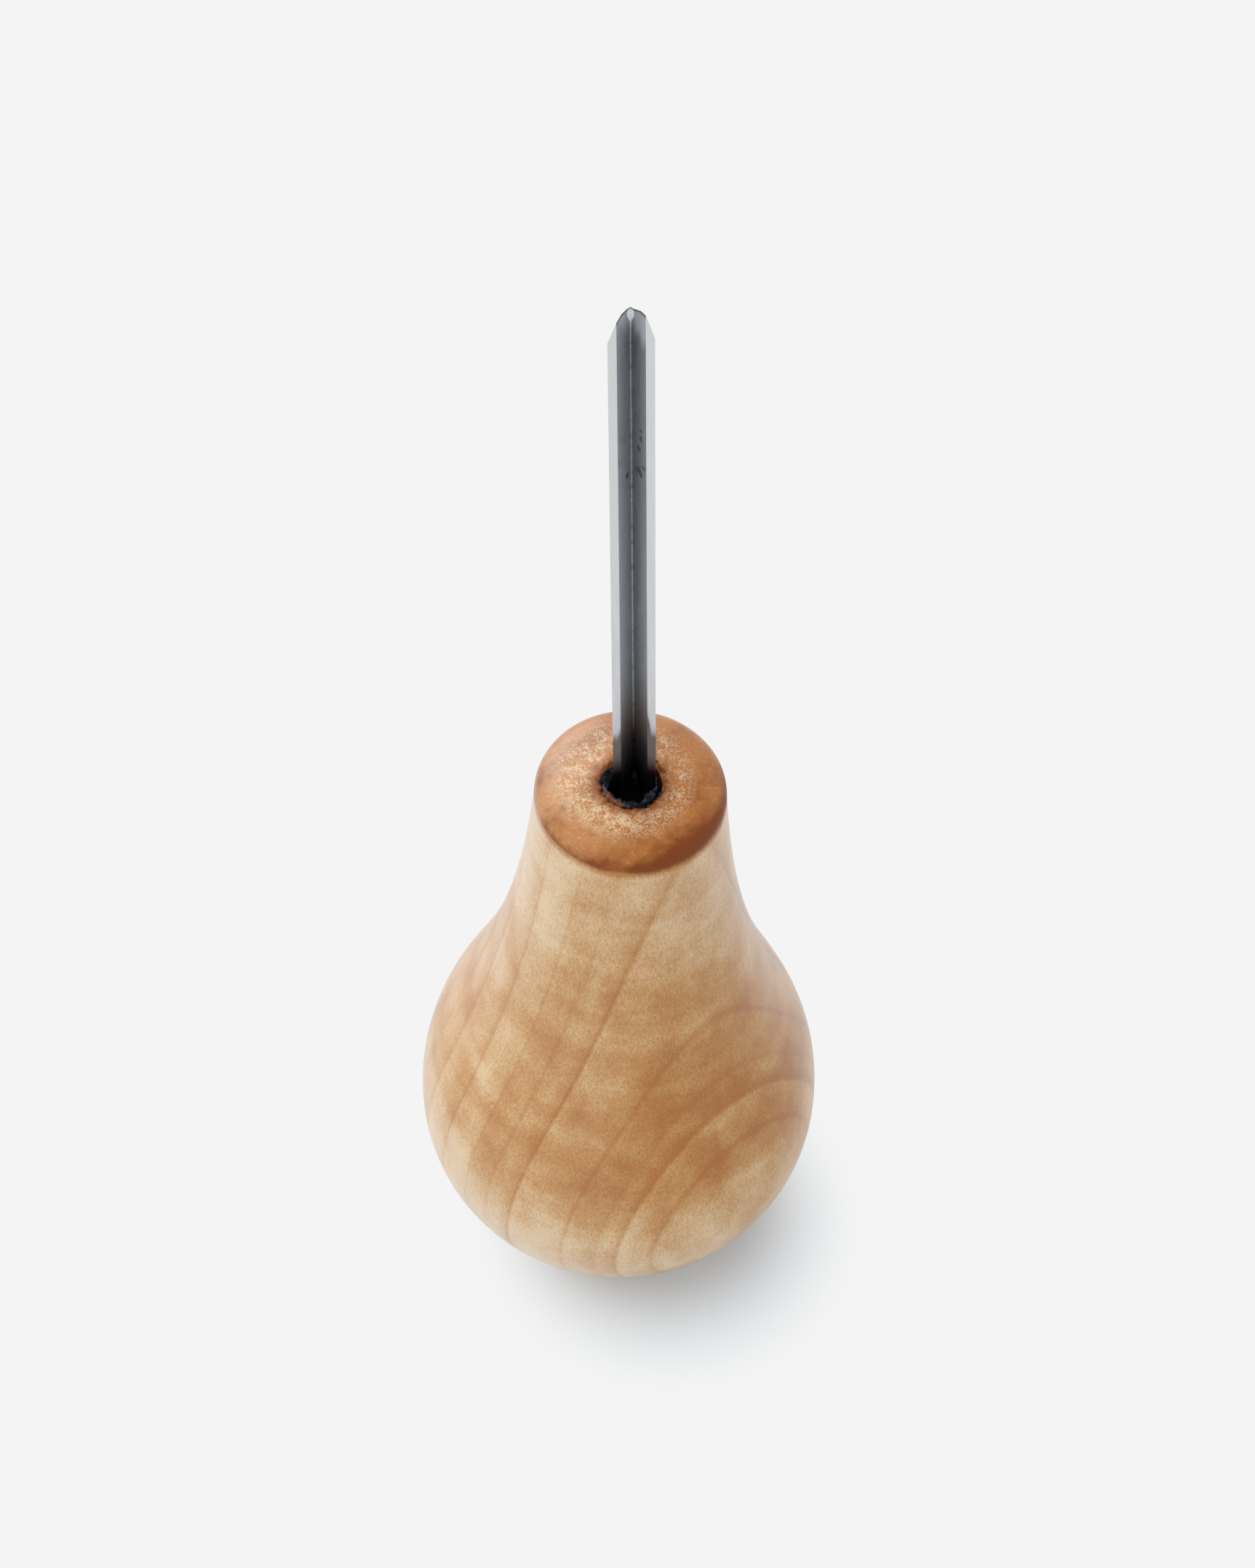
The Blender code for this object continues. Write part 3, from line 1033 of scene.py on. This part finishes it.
    def break_edges(self, piece, sizes):
        """Round the long edges of the rims."""
        rim = sizes.rim_place()
        shape = bmesh.from_edit_mesh(piece.data)
        for part in (shape.verts, shape.edges, shape.faces):
            for item in part:
                item.select_set(False)
        for edge in shape.edges:
            first, second = (vertex.co for vertex in edge.verts)
            on_rim = abs(first.y - rim) < 0.01 * MM and abs(second.y - rim) < 0.01 * MM
            if on_rim and abs(first.x - second.x) < 0.01 * MM and first.z > -sizes.seat - MM:
                edge.select_set(True)
        bmesh.update_edit_mesh(piece.data)
        bpy.ops.mesh.bevel(offset=sizes.edge_break, segments=3, affect="EDGES")

    def add_tang(self, blade, sizes):
        """Weld a tapered square tang, with a point, to the foot of the V."""
        top = -sizes.seat + 2 * MM
        tang = begin(
            "tang",
            bpy.ops.mesh.primitive_cone_add,
            vertices=4,
            radius1=sizes.tang_end / math.sqrt(2),
            radius2=sizes.tang_width / math.sqrt(2),
            depth=sizes.tang_length,
            location=(0, 0, top - sizes.tang_length / 2),
        )
        swing(math.radians(45), "Z", (0, 0, 0))
        select(tang, lambda co: co.z < top - sizes.tang_length / 2)
        bpy.ops.mesh.extrude_region_move(TRANSFORM_OT_translate={"value": (0, 0, -sizes.tang_end)})
        bpy.ops.transform.resize(value=(0.3, 0.3, 1), center_override=(0, 0, top))
        bpy.ops.object.mode_set(mode="OBJECT")
        weld(blade, tang)


BEDDING_STEPS = 160
BEDDING_LINE = (
    # share of the bore and height over the dome in mm, up the outside and down round the tang
    (0.60, -32.6),
    (0.62, -30.0),
    (0.90, -9.0),
    (0.95, -5.0),
    (0.96, -3.0),
    (0.97, -1.6),
    (0.98, -1.1),
    (0.99, -0.8),
    (1.0, -0.55),
    (0.99, -0.38),
    (0.96, -0.28),
    (0.92, -0.24),
    (0.86, -0.30),
    (0.80, -0.42),
    (0.75, -0.62),
    (0.71, -0.9),
    (0.70, -1.2),
    (0.70, -1.7),
    (0.72, -2.2),
    (0.80, -4.0),
    (0.70, -9.0),
    (0.40, -31.0),
    (0.40, -32.6),
)


class PALMTOOL_OT_bedding(bpy.types.Operator):
    """Line the socket with brittle char that swells over its mouth"""

    bl_idname = "palmtool.bedding"
    bl_label = "Bedding"

    def execute(self, context):
        sizes = context.scene.palm_handle
        blade = context.scene.palm_blade
        top = sizes.dome_height()
        bore = sizes.socket_diameter / 2
        line = [Vector((share * bore, 0, top + height * MM)) for share, height in BEDDING_LINE]
        piece = draw("charred_bedding", line + line[:1])
        turn(BEDDING_STEPS)
        swing(blade.lean, "Y", (0, 0, top))
        bpy.ops.transform.translate(value=(blade.offset, 0, 0))
        select(piece, lambda co: co.z > top - 2.5 * MM)
        bpy.ops.transform.translate(value=(-0.25 * MM, -sizes.mouth_forward, 0))
        swing(math.radians(6), "X", (0, -1.5 * MM, top))
        swing(math.radians(-9), "Y", (-1.2 * MM, 0, top))
        bpy.ops.mesh.select_all(action="SELECT")
        bpy.ops.mesh.subdivide(number_cuts=1)
        bpy.ops.object.mode_set(mode="OBJECT")
        weight(piece, "lumps", lambda co: ease(co.z, top - 3.0 * MM, top - 0.8 * MM))
        roughen(piece, "lumps", "char_lobes", size=1.1 * MM, strength=1.3 * MM)
        roughen(piece, "lumps", "char_lumps", size=0.45 * MM, strength=0.50 * MM, middle=0.55)
        roughen(piece, "lumps", "char_grains", size=0.16 * MM, strength=0.18 * MM)
        char = char_finish(context.scene.palm_finishes)
        finish_piece(piece, char, "tang_bedding", math.radians(70))
        return {"FINISHED"}


# The floor shows the tool's shadow round this place, out to between these distances in mm.
SHADOW_CENTRE = (5.3, -5.3)
SHADOW_REACH = (6.8, 21.0)
SKY_STRENGTH = 0.68
SOFT_BOXES = (
    # azimuth from +X and elevation in degrees, sharpness, strength
    (225, 30, 4, 0.9),
    (150, 55, 4, 0.8),
    (120, 22, 16, 3.2),
    (30, 25, 8, 0.4),
)


class PALMTOOL_OT_stage(bpy.types.Operator):
    """Lay the floor, light it softly from the left and set the camera"""

    bl_idname = "palmtool.stage"
    bl_label = "Stage"

    def execute(self, context):
        settings = context.scene.palm_stage
        self.lay_floor(settings)
        self.set_light(context)
        self.set_camera(context, settings)
        return {"FINISHED"}

    def lay_floor(self, settings):
        """A wide pale floor. Away from the tool's shadow it shows its plain colour."""
        floor = begin("floor", bpy.ops.mesh.primitive_plane_add, size=6.0, location=(0, 0, 0))
        bpy.ops.object.mode_set(mode="OBJECT")
        constants = {"Roughness": 1.0, "Specular IOR Level": 0.0}
        constants["Base Color"] = opaque(settings.floor_shade)
        material, shader, place = new_finish("pale_floor", constants)
        tree = material.node_tree
        x, y, _ = place.parts()
        reach = hypot(x - SHADOW_CENTRE[0], y - SHADOW_CENTRE[1])
        path = tree.nodes.new("ShaderNodeLightPath")
        rays = ("Is Camera Ray", "Is Glossy Ray", "Is Transmission Ray")
        camera, glossy, through = (Wire(tree, path.outputs[ray]) for ray in rays)
        plain = reach.step(*SHADOW_REACH) * (camera + glossy + through)
        inputs = {"Color": opaque(settings.floor), "Strength": 1.0}
        glow = plain.node("ShaderNodeEmission", {}, inputs)
        lit = Wire(tree, shader.outputs[0])
        shown = plain.node("ShaderNodeMixShader", {}, {0: plain, 1: lit, 2: glow})
        tree.links.new(shown.socket, tree.nodes["Material Output"].inputs["Surface"])
        floor.data.materials.append(material)

    def set_light(self, context):
        """An even sky with soft boxes on the left, at the back left, behind and on the right."""
        world = bpy.data.worlds.new("studio")
        context.scene.world = world
        world.use_nodes = True
        tree = world.node_tree
        start = Wire(tree, tree.nodes.new("ShaderNodeTexCoord").outputs["Generated"])
        glow = SKY_STRENGTH
        for azimuth, elevation, spread, strength in SOFT_BOXES:
            across = math.cos(math.radians(elevation))
            towards = (
                across * math.cos(math.radians(azimuth)),
                across * math.sin(math.radians(azimuth)),
                math.sin(math.radians(elevation)),
            )
            glow = start.dot(towards).math("MAXIMUM", 0.0).math("POWER", spread) * strength + glow
        tree.links.new(glow.socket, tree.nodes["Background"].inputs["Strength"])
        tree.nodes["Background"].inputs["Color"].default_value = (1, 1, 1, 1)

    def set_camera(self, context, settings):
        """Look down at the edge under the dome, as the photograph does."""
        aim = Vector((0, 0, context.scene.palm_handle.neck_height()))
        turned = Matrix.Rotation(settings.tilt, 3, "X") @ Matrix.Rotation(settings.roll, 3, "Z")
        place = aim + turned @ Vector((0, 0, settings.distance))
        bpy.ops.object.camera_add(location=place, rotation=turned.to_euler())
        camera = bpy.context.object
        camera.name = "camera"
        camera.data.lens = settings.lens
        camera.data.sensor_width = 36.0
        camera.data.shift_x = -settings.right / PHOTO_HEIGHT
        camera.data.shift_y = settings.below / PHOTO_HEIGHT
        camera.data.clip_start = 0.01
        context.scene.camera = camera
        context.scene.view_settings.view_transform = "Standard"


class PALMTOOL_PT_panel(bpy.types.Panel):
    """The tool's pieces, in the order that they are made"""

    bl_idname = "PALMTOOL_PT_panel"
    bl_label = "Palm V-tool"
    bl_space_type = "VIEW_3D"
    bl_region_type = "UI"
    bl_category = "Palm tool"

    def draw(self, context):
        for step in STEPS:
            self.layout.operator(step.bl_idname)
        for group in GROUPS:
            box = self.layout.box()
            settings = getattr(context.scene, group)
            for name in settings.bl_rna.properties.keys():
                if name not in ("rna_type", "name"):
                    box.prop(settings, name)


STEPS = (PALMTOOL_OT_handle, PALMTOOL_OT_blade, PALMTOOL_OT_bedding, PALMTOOL_OT_stage)
GROUPS = {
    "palm_handle": HandleSizes,
    "palm_blade": BladeSizes,
    "palm_stage": StageSettings,
    "palm_finishes": Finishes,
}


def register():
    """Register the classes and hang the settings on the scene."""
    for item in (*GROUPS.values(), *STEPS, PALMTOOL_PT_panel):
        bpy.utils.register_class(item)
    for name, group in GROUPS.items():
        setattr(bpy.types.Scene, name, PointerProperty(type=group))


def unregister():
    """Take the settings and the classes away again."""
    for name in GROUPS:
        delattr(bpy.types.Scene, name)
    for item in (PALMTOOL_PT_panel, *reversed(STEPS), *reversed(GROUPS.values())):
        bpy.utils.unregister_class(item)


def main():
    """Make every piece and the stage."""
    register()
    bpy.ops.palmtool.handle()
    bpy.ops.palmtool.blade()
    bpy.ops.palmtool.bedding()
    bpy.ops.palmtool.stage()


if __name__ == "__main__":
    main()
